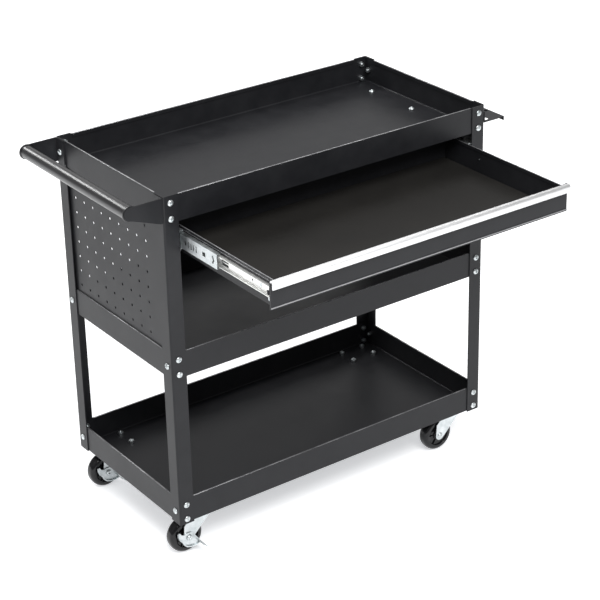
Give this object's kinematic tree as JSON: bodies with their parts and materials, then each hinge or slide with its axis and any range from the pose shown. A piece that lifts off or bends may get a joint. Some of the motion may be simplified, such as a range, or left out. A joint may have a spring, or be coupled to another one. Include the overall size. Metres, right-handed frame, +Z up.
{
  "type": "tool cart",
  "caption": "Three-tier rolling utility cart with hemmed sheet-metal trays, angle posts, sliding drawer, pegboard sides, push handle, tool rack and swivel casters.",
  "frame": {"origin": "on the floor, midway between the four corner posts", "axes": "+X along the length away from the push handle, -Y towards the drawer side, +Z up"},
  "size_m": [0.8465, 0.6488, 0.738],
  "materials": {
    "powder_black": "satin black powder coat with fine texture",
    "gloss_black": "smooth gloss black paint",
    "zinc": "bright zinc plate",
    "aluminium": "bright satin anodised",
    "liner": "matt black liner mat",
    "wheel_black": "glossy black moulded polypropylene"
  },
  "bodies": {
    "frame": {"post_front_left": "powder_black", "post_front_right": "powder_black", "post_rear_left": "powder_black", "post_rear_right": "powder_black", "tray_top": "powder_black", "tray_middle": "powder_black", "tray_bottom": "powder_black", "side_panel_left": "powder_black", "side_panel_right": "powder_black", "tool_rack": "powder_black", "handle_tube": "gloss_black", "handle_bracket_front": "powder_black", "handle_bracket_rear": "powder_black", "frame_screws": "zinc", "frame_nuts": "zinc", "slide_bracket_left": "powder_black", "slide_bracket_right": "powder_black", "slide_bracket_bolts": "zinc", "slide_bracket_nuts": "zinc", "slide_outer_left": "zinc", "slide_outer_right": "zinc", "slide_screws": "zinc", "caster_plate_front_left": "zinc", "caster_plate_front_right": "zinc", "caster_plate_rear_left": "zinc", "caster_plate_rear_right": "zinc", "caster_bolts": "zinc", "caster_nuts": "zinc", "caster_kingpins": "zinc", "caster_balls": "zinc"},
    "drawer": {"drawer_box": "powder_black", "drawer_front": "powder_black", "drawer_pull": "aluminium", "drawer_trim": "aluminium", "drawer_mat": "liner", "drawer_screws": "zinc", "slide_inner_left": "zinc", "slide_inner_right": "zinc"},
    "slide_mid_left": {"slide_middle_left": "zinc", "slide_balls_left": "zinc"},
    "slide_mid_right": {"slide_middle_right": "zinc", "slide_balls_right": "zinc"},
    "swivel_front_left": {"fork_front_left": "zinc", "axle_front_left": "zinc"},
    "roller_front_left": {"wheel_front_left": "wheel_black", "bush_front_left": "zinc"},
    "swivel_front_right": {"fork_front_right": "zinc", "axle_front_right": "zinc"},
    "roller_front_right": {"wheel_front_right": "wheel_black", "bush_front_right": "zinc"},
    "swivel_rear_left": {"fork_rear_left": "zinc", "axle_rear_left": "zinc"},
    "roller_rear_left": {"wheel_rear_left": "wheel_black", "bush_rear_left": "zinc"},
    "swivel_rear_right": {"fork_rear_right": "zinc", "axle_rear_right": "zinc"},
    "roller_rear_right": {"wheel_rear_right": "wheel_black", "bush_rear_right": "zinc"},
    "brake_front_left": {"brake_lever_front_left": "zinc"},
    "brake_rear_left": {"brake_lever_rear_left": "zinc"}
  },
  "joints": [
    {"name": "drawer_slide", "type": "slide", "parent": "frame", "child": "drawer", "axis": [0, -1, 0], "range_m": [-0.265, 0.033]},
    {"name": "slide_mid_left_travel", "type": "slide", "parent": "frame", "child": "slide_mid_left", "axis": [0, -1, 0], "range_m": [-0.133, 0.017]},
    {"name": "slide_mid_right_travel", "type": "slide", "parent": "frame", "child": "slide_mid_right", "axis": [0, -1, 0], "range_m": [-0.133, 0.017]},
    {"name": "caster_swivel_front_left", "type": "hinge", "parent": "frame", "child": "swivel_front_left", "pos_m": [-0.304, -0.147, 0.0745], "axis": [0, 0, 1], "continuous": true},
    {"name": "wheel_spin_front_left", "type": "hinge", "parent": "swivel_front_left", "child": "roller_front_left", "pos_m": [-0.331, -0.147, 0.035], "axis": [0, 1, 0], "continuous": true},
    {"name": "caster_swivel_front_right", "type": "hinge", "parent": "frame", "child": "swivel_front_right", "pos_m": [0.304, -0.147, 0.0745], "axis": [0, 0, 1], "continuous": true},
    {"name": "wheel_spin_front_right", "type": "hinge", "parent": "swivel_front_right", "child": "roller_front_right", "pos_m": [0.277, -0.147, 0.035], "axis": [0, 1, 0], "continuous": true},
    {"name": "caster_swivel_rear_left", "type": "hinge", "parent": "frame", "child": "swivel_rear_left", "pos_m": [-0.304, 0.147, 0.0745], "axis": [0, 0, 1], "continuous": true},
    {"name": "wheel_spin_rear_left", "type": "hinge", "parent": "swivel_rear_left", "child": "roller_rear_left", "pos_m": [-0.331, 0.147, 0.035], "axis": [0, 1, 0], "continuous": true},
    {"name": "caster_swivel_rear_right", "type": "hinge", "parent": "frame", "child": "swivel_rear_right", "pos_m": [0.304, 0.147, 0.0745], "axis": [0, 0, 1], "continuous": true},
    {"name": "wheel_spin_rear_right", "type": "hinge", "parent": "swivel_rear_right", "child": "roller_rear_right", "pos_m": [0.277, 0.147, 0.035], "axis": [0, 1, 0], "continuous": true},
    {"name": "brake_pedal_front_left", "type": "hinge", "parent": "swivel_front_left", "child": "brake_front_left", "pos_m": [-0.331, -0.147, 0.035], "axis": [0, -1, 0], "range_deg": [0, 12]},
    {"name": "brake_pedal_rear_left", "type": "hinge", "parent": "swivel_rear_left", "child": "brake_rear_left", "pos_m": [-0.331, 0.147, 0.035], "axis": [0, -1, 0], "range_deg": [0, 12]}
  ],
  "couplings": [
    {"joint": "slide_mid_left_travel", "follows": "drawer_slide", "ratio": 0.5},
    {"joint": "slide_mid_right_travel", "follows": "drawer_slide", "ratio": 0.5}
  ]
}
